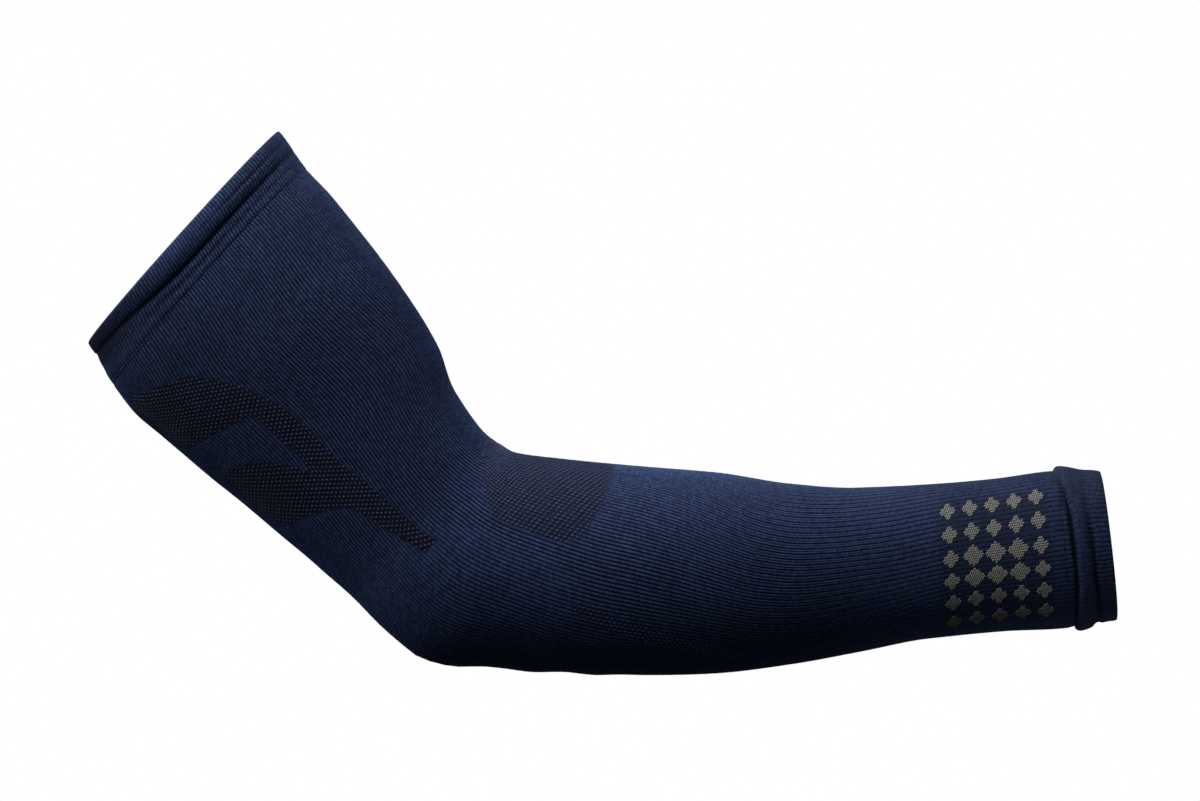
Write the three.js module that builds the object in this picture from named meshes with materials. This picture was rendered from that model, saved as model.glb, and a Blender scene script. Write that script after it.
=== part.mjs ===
// A full-length arm compression sleeve, as it looks on a bent arm: a knit tube with a turned welt at each end.
// Millimetres, +Z up. The origin is the centre of the elbow, on the arm's axis. The forearm runs towards +X,
// the upper arm rises towards -X and +Z, and the arm bends in the XZ plane.

import * as THREE from 'three';

// Lengths along the arm's axis, from the centre of the elbow to each opening.
const upperArmLength = 154.5;
const forearmLength = 252;

// Widths are measured in the plane of the bend, and depths at right angles to it, along Y.
const bicepsWidth = 109.5;
const bicepsDepth = 95;
const elbowWidth = 84;
const elbowDepth = 80;
const forearmWidth = 80;
const forearmDepth = 77;
const wristWidth = 58;
const wristDepth = 48;

// The way the arm runs, in degrees.
const upperArmSlope = 50.5;
const elbowBend = 46;
const forearmBow = 11;
const openingLean = 8.5;

// The radius of the inner side of the elbow, and how far below the welt the opening's lean dies away.
const insideElbowRadius = 34;
const leanFade = 50;

// The knit, and the two turned welts.
const knitWall = 1.2;
const upperHemWidth = 18;
const upperHemLift = 1.9;
const upperRollNarrowing = 0.45;
const wristHemWidth = 17.5;
const wristHemLift = 2.0;
const hemGap = 0.3;

// How finely the surfaces are divided.
const stepsAround = 44;
const longestStep = 10;
const pathStep = 0.5;

const navyKnit = 0x1c2c4c;
const navyWelt = 0x182642;

const girths = {
  biceps: { width: bicepsWidth, depth: bicepsDepth },
  elbow: { width: elbowWidth, depth: elbowDepth },
  forearm: { width: forearmWidth, depth: forearmDepth },
  wrist: { width: wristWidth, depth: wristDepth },
};

// Sections of the arm. along is a share of the upper arm's length where it is negative, and of the forearm's
// where it is positive. inner and outer reach from the axis to the inside and the outside of the bend, as
// shares of the width that the row follows, and depth is a share of that girth's depth.
const sections = [
  { along: -1.0, follows: 'biceps', inner: 0.488, outer: 0.484, depth: 0.95 },
  { along: -0.88, follows: 'biceps', inner: 0.478, outer: 0.511, depth: 0.98 },
  { along: -0.8, follows: 'biceps', inner: 0.486, outer: 0.516, depth: 1.0 },
  { along: -0.68, follows: 'biceps', inner: 0.483, outer: 0.496, depth: 1.0 },
  { along: -0.52, follows: 'biceps', inner: 0.467, outer: 0.46, depth: 0.96 },
  { along: -0.4, follows: 'biceps', inner: 0.442, outer: 0.425, depth: 0.91 },
  { along: -0.28, follows: 'elbow', inner: 0.502, outer: 0.514, depth: 1.03 },
  { along: -0.17, follows: 'elbow', inner: 0.485, outer: 0.476, depth: 0.99 },
  { along: -0.09, follows: 'elbow', inner: 0.492, outer: 0.457, depth: 0.97 },
  { along: 0.0, follows: 'elbow', inner: 0.495, outer: 0.508, depth: 0.97 },
  { along: 0.02, follows: 'elbow', inner: 0.493, outer: 0.53, depth: 0.97 },
  { along: 0.045, follows: 'elbow', inner: 0.488, outer: 0.523, depth: 0.97 },
  { along: 0.08, follows: 'elbow', inner: 0.477, outer: 0.5, depth: 0.96 },
  { along: 0.16, follows: 'forearm', inner: 0.49, outer: 0.522, depth: 0.99 },
  { along: 0.3, follows: 'forearm', inner: 0.474, outer: 0.511, depth: 1.0 },
  { along: 0.4, follows: 'forearm', inner: 0.458, outer: 0.495, depth: 0.98 },
  { along: 0.52, follows: 'forearm', inner: 0.404, outer: 0.447, depth: 0.88 },
  { along: 0.62, follows: 'forearm', inner: 0.38, outer: 0.395, depth: 0.77 },
  { along: 0.72, follows: 'wrist', inner: 0.526, outer: 0.479, depth: 1.1 },
  { along: 0.83, follows: 'wrist', inner: 0.534, outer: 0.463, depth: 1.02 },
  { along: 0.92, follows: 'wrist', inner: 0.553, outer: 0.478, depth: 1.0 },
  { along: 1.0, follows: 'wrist', inner: 0.505, outer: 0.452, depth: 0.97 },
];

// The outside of each welt, from its open edge to the tube. along is a share of the welt's width, and lift a
// share of its lift above the knit. roll marks the rows that the rolled edge takes with it as it narrows.
const upperHemRows = [
  { along: 0.0, lift: -0.3, roll: true },
  { along: 0.015, lift: 0.3, roll: true },
  { along: 0.07, lift: 0.75, roll: true },
  { along: 0.18, lift: 1.0, roll: true },
  { along: 0.32, lift: 1.0, roll: true },
  { along: 0.44, lift: 0.8, roll: true },
  { along: 0.52, lift: 0.45, roll: true },
  { along: 0.56, lift: 0.05, roll: true },
  { along: 0.61, lift: 0.4, roll: false },
  { along: 0.72, lift: 0.5, roll: false },
  { along: 0.9, lift: 0.46, roll: false },
  { along: 0.96, lift: 0.36, roll: false },
  { along: 1.0, lift: 0.0, roll: false },
];

const wristHemRows = [
  { along: 0.0, lift: -0.3, roll: false },
  { along: 0.015, lift: 0.2, roll: false },
  { along: 0.08, lift: 0.42, roll: false },
  { along: 0.24, lift: 0.46, roll: false },
  { along: 0.37, lift: 0.4, roll: false },
  { along: 0.42, lift: 0.08, roll: false },
  { along: 0.48, lift: 0.55, roll: false },
  { along: 0.57, lift: 0.92, roll: false },
  { along: 0.66, lift: 1.0, roll: false },
  { along: 0.76, lift: 0.88, roll: false },
  { along: 0.84, lift: 0.5, roll: false },
  { along: 0.89, lift: 0.06, roll: false },
  { along: 0.95, lift: 0.2, roll: false },
  { along: 1.0, lift: 0.0, roll: false },
];

const radians = THREE.MathUtils.degToRad;

// The axis turns on an arc whose radius clears the inside of the elbow.
const turnRadius = insideElbowRadius + elbowWidth / 2;
const turnLength = turnRadius * radians(elbowBend);

function smooth(share) {
  const t = THREE.MathUtils.clamp(share, 0, 1);
  return t * t * (3 - 2 * t);
}

// The direction of the axis, as an angle above +X, at a distance from the centre of the elbow.
function headingAt(distance) {
  const turned = smooth(distance / turnLength + 0.5);
  const bowed = THREE.MathUtils.clamp((distance - turnLength / 2) / (forearmLength - turnLength / 2), 0, 1);
  return radians(-upperArmSlope + elbowBend * turned + forearmBow * bowed);
}

// Steps along the axis from the elbow to one opening. Each step ends where the next one starts.
function walkAxis(length) {
  const count = Math.ceil(Math.abs(length) / pathStep);
  const step = length / count;
  const points = [new THREE.Vector2(0, 0)];
  for (let i = 0; i < count; i += 1) {
    const heading = headingAt((i + 0.5) * step);
    const last = points[i];
    points.push(new THREE.Vector2(last.x + step * Math.cos(heading), last.y + step * Math.sin(heading)));
  }
  return { points, step };
}

const axisToWrist = walkAxis(forearmLength);
const axisToShoulder = walkAxis(-upperArmLength);

function axisAt(distance) {
  const walk = distance < 0 ? axisToShoulder : axisToWrist;
  const place = distance / walk.step;
  const before = Math.min(Math.floor(place), walk.points.length - 2);
  return walk.points[before].clone().lerp(walk.points[before + 1], place - before);
}

// Each section's distance and half sizes in millimetres.
const measured = sections.map((row) => ({
  distance: row.along * (row.along < 0 ? upperArmLength : forearmLength),
  inner: row.inner * girths[row.follows].width,
  outer: row.outer * girths[row.follows].width,
  side: (row.depth * girths[row.follows].depth) / 2,
}));

// The slope of one column at a row, kept flat at a crest or a hollow so that the curve never overshoots.
function slopeAt(column, i) {
  if (i === 0 || i === measured.length - 1) return 0;
  const before = measured[i - 1];
  const here = measured[i];
  const after = measured[i + 1];
  const arriving = (here[column] - before[column]) / (here.distance - before.distance);
  const leaving = (after[column] - here[column]) / (after.distance - here.distance);
  return arriving * leaving <= 0 ? 0 : (2 * arriving * leaving) / (arriving + leaving);
}

function columnAt(column, distance) {
  let i = 0;
  while (i < measured.length - 2 && distance > measured[i + 1].distance) i += 1;
  const span = measured[i + 1].distance - measured[i].distance;
  const t = (distance - measured[i].distance) / span;
  const rise = measured[i + 1][column] - measured[i][column];
  const startPull = slopeAt(column, i) * span;
  const endPull = slopeAt(column, i + 1) * span;
  return measured[i][column]
    + rise * t * t * (3 - 2 * t)
    + startPull * t * (1 - t) * (1 - t)
    - endPull * t * t * (1 - t);
}

// How far the section leans towards the shoulder for each millimetre towards the inside of the bend.
function leanAt(distance) {
  const pastHem = distance + upperArmLength - upperHemWidth;
  return Math.tan(radians(openingLean)) * (1 - smooth(pastHem / leanFade));
}

// A point of the knit: distance along the axis, angle round the arm from the inside of the bend, and height
// above the outer face of the knit.
function surfacePoint(distance, angle, height) {
  const heading = headingAt(distance);
  const reach = Math.cos(angle) > 0 ? columnAt('inner', distance) : columnAt('outer', distance);
  const across = (reach + height) * Math.cos(angle);
  const depth = (columnAt('side', distance) + height) * Math.sin(angle);
  const back = across * leanAt(distance);
  const centre = axisAt(distance);
  return new THREE.Vector3(
    centre.x - across * Math.sin(heading) - back * Math.cos(heading),
    -depth,
    centre.y + across * Math.cos(heading) - back * Math.sin(heading),
  );
}

// A closed ring of knit. The loop is the outline of its wall, cut along the arm: a list of functions that
// give the distance and the height of one corner at an angle.
function ringGeometry(loop) {
  const positions = [];
  for (let a = 0; a < stepsAround; a += 1) {
    const angle = (a / stepsAround) * 2 * Math.PI;
    for (const corner of loop) {
      const { distance, height } = corner(angle);
      positions.push(...surfacePoint(distance, angle, height).toArray());
    }
  }
  const indices = [];
  for (let a = 0; a < stepsAround; a += 1) {
    const nextA = (a + 1) % stepsAround;
    for (let b = 0; b < loop.length; b += 1) {
      const nextB = (b + 1) % loop.length;
      const here = a * loop.length + b;
      const ahead = a * loop.length + nextB;
      const round = nextA * loop.length + b;
      const both = nextA * loop.length + nextB;
      indices.push(here, round, both, here, both, ahead);
    }
  }
  const geometry = new THREE.BufferGeometry();
  geometry.setAttribute('position', new THREE.Float32BufferAttribute(positions, 3));
  geometry.setIndex(indices);
  geometry.computeVertexNormals();
  return geometry;
}

// The stations of the tube: each section of the table, with even steps between them.
function tubeStations(start, end) {
  const stops = [start, ...measured.map((row) => row.distance).filter((d) => d > start && d < end), end];
  const stations = [start];
  for (let i = 1; i < stops.length; i += 1) {
    const gap = stops[i] - stops[i - 1];
    const count = Math.ceil(gap / longestStep);
    for (let step = 1; step <= count; step += 1) stations.push(stops[i - 1] + (gap * step) / count);
  }
  return stations;
}

function sleeveBody() {
  const start = -upperArmLength + upperHemWidth + hemGap;
  const end = forearmLength - wristHemWidth - hemGap;
  const stations = tubeStations(start, end);
  const outside = stations.map((distance) => () => ({ distance, height: 0 }));
  const inside = stations.map((distance) => () => ({ distance, height: -knitWall })).reverse();
  return ringGeometry([...outside, ...inside]);
}

// How much of the roll's width is left at an angle: all of it inside the bend, less at the outside.
function rollShare(angle) {
  return 1 - upperRollNarrowing * smooth(-Math.cos(angle));
}

function hemCorners(rows, edge, width, lift, towardsTube) {
  const rollEnd = Math.max(0, ...rows.filter((row) => row.roll).map((row) => row.along));
  const outside = rows.map((row) => (angle) => {
    const narrowed = rollShare(angle);
    const stretch = (1 - rollEnd * narrowed) / (1 - rollEnd);
    const share = row.roll ? row.along * narrowed : 1 - (1 - row.along) * stretch;
    return { distance: edge + towardsTube * share * width, height: row.lift * lift };
  });
  const inside = [1, 0.5, 0.06].map((share) => () => (
    { distance: edge + towardsTube * share * width, height: -knitWall }
  ));
  return [...outside, ...inside];
}

function upperHem() {
  return ringGeometry(hemCorners(upperHemRows, -upperArmLength, upperHemWidth, upperHemLift, 1));
}

function wristHem() {
  const corners = hemCorners(wristHemRows, forearmLength, wristHemWidth, wristHemLift, -1);
  return ringGeometry(corners.reverse());
}

function knitPiece(name, geometry, color, roughness) {
  const material = new THREE.MeshStandardMaterial({ color, roughness, metalness: 0 });
  const mesh = new THREE.Mesh(geometry, material);
  mesh.name = name;
  return mesh;
}

const armSleeve = new THREE.Group();
armSleeve.add(knitPiece('sleeve_body', sleeveBody(), navyKnit, 0.9));
armSleeve.add(knitPiece('upper_hem', upperHem(), navyWelt, 0.85));
armSleeve.add(knitPiece('wrist_hem', wristHem(), navyWelt, 0.85));

export default armSleeve;
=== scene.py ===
# A knit arm compression sleeve in navy nylon and elastane, as it looks on a bent arm.
# Sizes are in millimetres and become metres in surfacePoint. "along" is the distance along the arm's axis
# from the centre of the elbow, less than nothing towards the shoulder. "angle" goes round the arm from the
# inside of the bend, and is positive on the side that the camera sees.

import math
from itertools import product

import bpy
import numpy as np
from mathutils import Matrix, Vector


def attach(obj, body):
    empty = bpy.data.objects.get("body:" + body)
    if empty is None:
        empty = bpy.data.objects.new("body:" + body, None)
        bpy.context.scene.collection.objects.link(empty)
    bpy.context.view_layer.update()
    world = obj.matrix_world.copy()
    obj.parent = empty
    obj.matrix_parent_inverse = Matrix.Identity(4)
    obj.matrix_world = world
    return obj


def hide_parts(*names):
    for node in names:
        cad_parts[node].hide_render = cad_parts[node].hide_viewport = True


mm = 0.001
fullTurn = 2 * math.pi

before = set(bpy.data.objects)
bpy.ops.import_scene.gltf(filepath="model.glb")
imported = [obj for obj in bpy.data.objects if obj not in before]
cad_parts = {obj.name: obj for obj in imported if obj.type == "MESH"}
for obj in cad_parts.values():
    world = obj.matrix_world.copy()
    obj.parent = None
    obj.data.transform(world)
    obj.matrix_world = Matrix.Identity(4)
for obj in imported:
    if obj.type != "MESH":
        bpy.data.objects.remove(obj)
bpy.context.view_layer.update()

# The form of the arm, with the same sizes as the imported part.

arm = {
    "upperArmLength": 154.5,
    "forearmLength": 252,
    "bicepsWidth": 109.5,
    "bicepsDepth": 95,
    "elbowWidth": 84,
    "elbowDepth": 80,
    "forearmWidth": 80,
    "forearmDepth": 77,
    "wristWidth": 58,
    "wristDepth": 48,
    "upperArmSlope": 50.5,
    "elbowBend": 46,
    "forearmBow": 11,
    "openingLean": 8.5,
    "insideElbowRadius": 34,
    "leanFade": 50,
    "axisStep": 0.5,
}

# along is a share of the upper arm's length where it is negative, and of the forearm's where it is positive.
sectionColumns = ("along", "follows", "inner", "outer", "depth")
armSections = [
    (-1.0, "biceps", 0.488, 0.484, 0.95),
    (-0.88, "biceps", 0.478, 0.511, 0.98),
    (-0.8, "biceps", 0.486, 0.516, 1.0),
    (-0.68, "biceps", 0.483, 0.496, 1.0),
    (-0.52, "biceps", 0.467, 0.46, 0.96),
    (-0.4, "biceps", 0.442, 0.425, 0.91),
    (-0.28, "elbow", 0.502, 0.514, 1.03),
    (-0.17, "elbow", 0.485, 0.476, 0.99),
    (-0.09, "elbow", 0.492, 0.457, 0.97),
    (0.0, "elbow", 0.495, 0.508, 0.97),
    (0.02, "elbow", 0.493, 0.53, 0.97),
    (0.045, "elbow", 0.488, 0.523, 0.97),
    (0.08, "elbow", 0.477, 0.5, 0.96),
    (0.16, "forearm", 0.49, 0.522, 0.99),
    (0.3, "forearm", 0.474, 0.511, 1.0),
    (0.4, "forearm", 0.458, 0.495, 0.98),
    (0.52, "forearm", 0.404, 0.447, 0.88),
    (0.62, "forearm", 0.38, 0.395, 0.77),
    (0.72, "wrist", 0.526, 0.479, 1.1),
    (0.83, "wrist", 0.534, 0.463, 1.02),
    (0.92, "wrist", 0.553, 0.478, 1.0),
    (1.0, "wrist", 0.505, 0.452, 0.97),
]
sections = [dict(zip(sectionColumns, row)) for row in armSections]

turnRadius = arm["insideElbowRadius"] + arm["elbowWidth"] / 2
turnLength = turnRadius * math.radians(arm["elbowBend"])


def smooth(share):
    t = np.clip(share, 0, 1)
    return t * t * (3 - 2 * t)


def headingAt(along):
    turned = smooth(along / turnLength + 0.5)
    bowed = np.clip((along - turnLength / 2) / (arm["forearmLength"] - turnLength / 2), 0, 1)
    return np.radians(-arm["upperArmSlope"] + arm["elbowBend"] * turned + arm["forearmBow"] * bowed)


axisStep = arm["axisStep"]
axisAlong = np.arange(-arm["upperArmLength"], arm["forearmLength"] + axisStep / 2, axisStep)
axisHeading = headingAt(axisAlong[:-1] + axisStep / 2)
axisX = np.concatenate([[0], np.cumsum(axisStep * np.cos(axisHeading))])
axisZ = np.concatenate([[0], np.cumsum(axisStep * np.sin(axisHeading))])
axisX -= np.interp(0, axisAlong, axisX)
axisZ -= np.interp(0, axisAlong, axisZ)


def slopesOf(places, values):
    # Slopes at each row, flat at a crest or a hollow, so that the curve never overshoots.
    grades = np.diff(values) / np.diff(places)
    before, after = grades[:-1], grades[1:]
    both = np.where(before * after > 0, before + after, 1)
    inner = np.where(before * after > 0, 2 * before * after / both, 0)
    return np.concatenate([[0], inner, [0]])


def curveThrough(places, values, wanted):
    places, values = np.array(places, float), np.array(values, float)
    slopes = slopesOf(places, values)
    i = np.clip(np.searchsorted(places, wanted) - 1, 0, len(places) - 2)
    span = places[i + 1] - places[i]
    t = np.clip((wanted - places[i]) / span, 0, 1)
    rise = values[i + 1] - values[i]
    pull = slopes[i] * span * t * (1 - t) ** 2 - slopes[i + 1] * span * t * t * (1 - t)
    return values[i] + rise * t * t * (3 - 2 * t) + pull


sectionAlong = [
    row["along"] * arm["upperArmLength" if row["along"] < 0 else "forearmLength"] for row in sections
]
sectionReach = {
    "inner": [row["inner"] * arm[row["follows"] + "Width"] for row in sections],
    "outer": [row["outer"] * arm[row["follows"] + "Width"] for row in sections],
    "side": [row["depth"] * arm[row["follows"] + "Depth"] / 2 for row in sections],
}


def reachAt(name, along):
    return curveThrough(sectionAlong, sectionReach[name], along)


def girthAt(along):
    return math.pi * ((reachAt("inner", along) + reachAt("outer", along)) / 2 + reachAt("side", along))


def surfacePoint(along, angle, height):
    along, angle, height = np.broadcast_arrays(np.asarray(along, float), angle, height)
    heading = headingAt(along)
    reach = np.where(np.cos(angle) > 0, reachAt("inner", along), reachAt("outer", along))
    across = (reach + height) * np.cos(angle)
    depth = (reachAt("side", along) + height) * np.sin(angle)
    pastHem = along + arm["upperArmLength"] - upperHem["width"]
    lean = math.tan(math.radians(arm["openingLean"])) * (1 - smooth(pastHem / arm["leanFade"]))
    back = across * lean
    x = np.interp(along, axisAlong, axisX) - across * np.sin(heading) - back * np.cos(heading)
    z = np.interp(along, axisAlong, axisZ) + across * np.cos(heading) - back * np.sin(heading)
    return np.stack([x, -depth, z], -1) * mm


# The knit: its wall, how each rib stands, where the ribs are lower, and how fine the mesh is.

knit = {
    "wall": 1.2,
    "ribHeight": 0.52,
    "crestShare": 0.4,  # of the ribs' height, above the plain surface
    "brightness": 1.12,
    "coursePitch": 0.9,  # the real one is about half this, too fine to show
    "chevronLean": 0.6,
    "runOffRibs": 0.35,
    "plainRibShare": 0.7,
    "plainRibFade": 12.0,
    "meshRibShare": 0.25,
    "figureRibShare": 0.6,
    "zoneFade": 1.0,
    "underWelt": 2.0,
    "sinkLength": 3.0,
    "sinkDepth": 0.4,
    "rowStep": 3.2,
    "backRowStep": 8.0,
    "backColumns": 44,
    "endSpace": 0.1,  # in ribs, with no column of the mesh, at both ends of a row
}

# How the ribs run. ribs is how many go round. offset is the number of the rib on the inside of the bend: as
# it falls, ribs come out there and run off at the outside. crowding says how much closer they are on the
# sides than along the inside and outside, depth scales their relief and the contrast of the painted shade
# in their grooves, sharpness narrows the grooves, pairing fades every second groove, and tone scales the
# colour as painted light and shade, brightest at the elbow and darkest at the wrist. inside and outside are
# how much paler than on the sides the colour is painted there, as painted light and shade.
flowColumns = (
    "along", "ribs", "offset", "crowding", "depth", "sharpness", "pairing", "tone", "inside", "outside"
)
flowTable = [
    (-154.5, 196, -2.5, 0.26, 1.2, 1.6, 0.0, 1.1, -0.2, -0.35),
    (-136, 196, -2.5, 0.26, 1.2, 1.6, 0.0, 0.99, -0.04, -0.15),
    (-110, 190, -2.5, 0.25, 1.25, 1.6, 0.0, 0.98, 0.0, -0.15),
    (-60, 172, 3.5, 0.22, 1.25, 1.6, 0.0, 0.98, 0.02, 0.35),
    (-20, 164, 3.5, 0.12, 1.3, 1.6, 0.0, 1.06, 0.05, 0.4),
    (-3, 162, 3.1, 0.05, 1.3, 1.6, 0.0, 1.2, 0.06, 0.1),
    (10, 160, 1.8, 0.02, 1.3, 1.6, 0.0, 1.28, 0.02, -0.1),
    (25, 159, -0.4, 0.0, 1.3, 1.6, 0.0, 1.25, 0.0, -0.1),
    (43, 158, -3.3, -0.02, 1.15, 1.7, 0.0, 1.11, 0.0, 0.0),
    (58, 158, -5.6, -0.01, 1.1, 1.8, 0.0, 1.06, 0.0, 0.0),
    (73, 158, -7.4, 0.01, 1.1, 1.8, 0.02, 1.02, 0.0, 0.0),
    (88, 160, -10.2, 0.05, 1.15, 1.8, 0.12, 0.99, 0.0, 0.0),
    (103, 164, -14.4, 0.1, 1.2, 1.8, 0.22, 0.97, -0.02, 0.0),
    (118, 167, -18.4, 0.14, 1.25, 1.8, 0.35, 0.93, -0.04, 0.0),
    (133, 168, -20.0, 0.16, 1.25, 1.8, 0.5, 0.87, -0.05, 0.0),
    (163, 168, -17.9, 0.17, 0.95, 1.7, 0.75, 0.73, -0.06, 0.4),
    (200, 176, -14.2, 0.17, 0.7, 2.1, 1.0, 0.58, -0.22, 0.5),
    (252, 176, -11.5, 0.17, 0.6, 2.1, 1.0, 0.48, -0.24, 0.1),
]
flow = dict(zip(flowColumns, np.array(flowTable, float).T))


def flowAt(name, along):
    return curveThrough(flow["along"], flow[name], along)


# Painted light and shade: scales the knit's colour along the arm, and makes it paler or darker along the
# inside and the outside of the bend.
def paintedLightAt(along, angle):
    inside, outside = np.clip(np.cos(angle), 0, 1), np.clip(-np.cos(angle), 0, 1)
    paler = flowAt("inside", along) * inside + flowAt("outside", along) * outside
    return flowAt("tone", along) * (1 + paler)


def turnAngle(along, turn):
    return fullTurn * turn + flowAt("crowding", along) / 2 * np.sin(2 * fullTurn * turn)


def ribAngle(along, phase):
    # The angle at which a rib, or a place between two ribs, lies at a distance along the arm.
    return turnAngle(along, (phase - flowAt("offset", along)) / flowAt("ribs", along))


# Where the columns of the mesh stand on a rib, from one groove to the next.
ribStations = np.array([0.0, 0.18, 0.5, 0.82])


def ribPhases(first, last):
    phases = (np.arange(math.floor(first), math.ceil(last))[:, None] + ribStations).ravel()
    return phases[(phases > first + knit["endSpace"]) & (phases < last - knit["endSpace"])]


# Outlines of the zones on one side, as (along, degrees round). The other side mirrors them.
tuckWings = [
    (-130, 164), (-114, 123), (-96, 110), (-80, 102), (-66, 100), (-52, 100), (-42, 97), (-29, 94),
    (-16, 92), (-4, 91), (-5, 101), (-14, 103), (-25, 108), (-34, 112), (-38, 120), (-42, 135),
    (-45, 154), (-57, 162), (-76, 156), (-74, 142), (-70, 128), (-58, 116), (-52, 114), (-62, 113),
    (-72, 114), (-82, 115), (-85, 116), (-86, 124), (-88, 135), (-91, 158), (-103, 168), (-118, 164),
]
underWedge = [
    (47, 112), (52, 110), (64, 116), (79, 124), (96, 132), (116, 148), (110, 150), (88, 139), (70, 130),
    (56, 122),
]
insideElbow = [
    (-16, -12), (-16, 26), (-2, 48), (12, 66), (30, 74), (39, 78), (48, 78), (50, 74), (55, 63), (60, 46),
    (61, 22), (61, -12),
]
plainElbow = [(-10, 84), (12, 76), (40, 84), (52, 104), (52, 192), (-18, 192), (-16, 120)]
figureGround = [(187, 42), (190, 38), (226, 38), (229, 42), (229, 144), (226, 148), (190, 148), (187, 144)]

farOutside = -9.0  # the depth that stands for a place far from every zone


def depthIn(outline, along, angle):
    # How deep inside an outline each point lies on the unrolled knit, in millimetres.
    corners = np.array(outline, float)
    cornerX, cornerY = corners[:, 0], corners[:, 1] / 360 * girthAt(corners[:, 0])
    x, y = along, np.abs(angle) / fullTurn * girthAt(along)
    nearest, inside = np.full(len(x), np.inf), np.zeros(len(x), bool)
    for i in range(len(corners)):
        ax, ay, bx, by = cornerX[i - 1], cornerY[i - 1], cornerX[i], cornerY[i]
        reach = (bx - ax) ** 2 + (by - ay) ** 2
        t = np.clip(((x - ax) * (bx - ax) + (y - ay) * (by - ay)) / reach, 0, 1)
        nearest = np.minimum(nearest, np.hypot(x - ax - t * (bx - ax), y - ay - t * (by - ay)))
        if ay != by:
            crosses = ((ay > y) != (by > y)) & (x < (bx - ax) * (y - ay) / (by - ay) + ax)
            inside ^= crosses
    return np.where(inside, nearest, -nearest)


def insideShare(depth, fade):
    # 1 inside a zone and 0 outside it, with an edge as soft as the fade is wide.
    return smooth(depth / fade + 0.5)


# Shallow ripples where the knit is slack at the outside of the elbow.
ripples = {
    "height": 0.34,
    "length": 24.0,
    "from": -20.0,
    "to": 78.0,
    "fade": 22.0,
    "startAngle": 1.5,
    "slant": 1.6,
}


def rippleHeight(along, angle):
    fade, startAngle = ripples["fade"], ripples["startAngle"]
    rise = smooth((along - ripples["from"]) / fade) * smooth((ripples["to"] - along) / fade)
    low = smooth((np.abs(angle) - startAngle) / (math.pi - startAngle))
    wave = np.sin(fullTurn * along / ripples["length"] + ripples["slant"] * np.abs(angle))
    return ripples["height"] * rise * low * wave


# Shells of knit, built row by row, with each row's vertices zipped to the next row's.

shellColumns = ("along", "angle", "height", "phase", "back")


def newShell():
    return {**{name: [] for name in shellColumns}, "count": 0, "faces": []}


def addVertices(shell, *values):
    # The values are in the order of shellColumns, each one number or one for each vertex.
    columns = np.broadcast_arrays(*(np.asarray(value, float) for value in values))
    for name, column in zip(shellColumns, columns):
        shell[name].append(column)
    first = shell["count"]
    shell["count"] += len(columns[0])
    return list(range(first, shell["count"]))


def zipRows(shell, low, lowKeys, high, highKeys):
    # Joins two open chains of vertices with triangles, in the order of their keys.
    a, b = 0, 0
    while a < len(low) - 1 or b < len(high) - 1:
        stepLow = b == len(high) - 1 or (a < len(low) - 1 and lowKeys[a + 1] <= highKeys[b + 1])
        if stepLow:
            shell["faces"].append((low[a], low[a + 1], high[b]))
            a += 1
        else:
            shell["faces"].append((low[a], high[b + 1], high[b]))
            b += 1


def addObject(name, data):
    made = bpy.data.objects.new(name, data)
    bpy.context.scene.collection.objects.link(made)
    return made


def addAttribute(mesh, name, kind, field, values):
    attribute = mesh.attributes.new(name, kind, "POINT")
    attribute.data.foreach_set(field, values.astype(np.float32).ravel())


def shellMesh(name, shell, fields):
    along, angle, height, phase, back = (np.concatenate(shell[column]) for column in shellColumns)
    points = surfacePoint(along, angle, height)
    faces = np.array(shell["faces"])
    a, b, c = (points[faces[:, i]] for i in range(3))
    if (a * np.cross(b, c)).sum() < 0:  # the volume is negative while the faces look inwards
        faces = faces[:, ::-1]
    mesh = bpy.data.meshes.new(name)
    mesh.from_pydata(points, [], faces.tolist())
    values = {
        "ribPhase": phase, "alongArm": along, "backFace": back,
        "ribDepth": flowAt("depth", along), "ribSharpness": flowAt("sharpness", along),
        # The painted light and shade along and round the arm, which scales the knit's colour.
        "paintedLightAndShade": paintedLightAt(along, angle),
        **fields(along, angle, height, phase, back),
    }
    for attribute, numbers in values.items():
        addAttribute(mesh, attribute, "FLOAT", "value", numbers)
    mesh.validate()
    return addObject(name, mesh)


def sideChains(shell, along, height, back):
    # One row of the tube: a chain down each side, from the inside of the bend to the outside.
    if back:
        first, last = 0, knit["backColumns"]
        phases = np.arange(1.0, last)
        angles = math.pi * phases / last
    else:
        first = float(flowAt("offset", along))
        last = first + float(flowAt("ribs", along)) / 2
        phases = ribPhases(first, last)
        angles = ribAngle(along, phases)
    top, bottom, near, far = (
        addVertices(shell, along, angle, height(along, angle), phase, back)
        for angle, phase in (([0.0], first), ([math.pi], last), (angles, phases), (-angles, phases))
    )
    keys = {"phase": [first, *phases, last], "angle": [0, *angles, math.pi]}
    return top + near + bottom, top + far + bottom, keys


def zipSides(shell, low, high, key):
    zipRows(shell, low[0], low[2][key], high[0], high[2][key])
    zipRows(shell, high[1], high[2][key], low[1], low[2][key])


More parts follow.
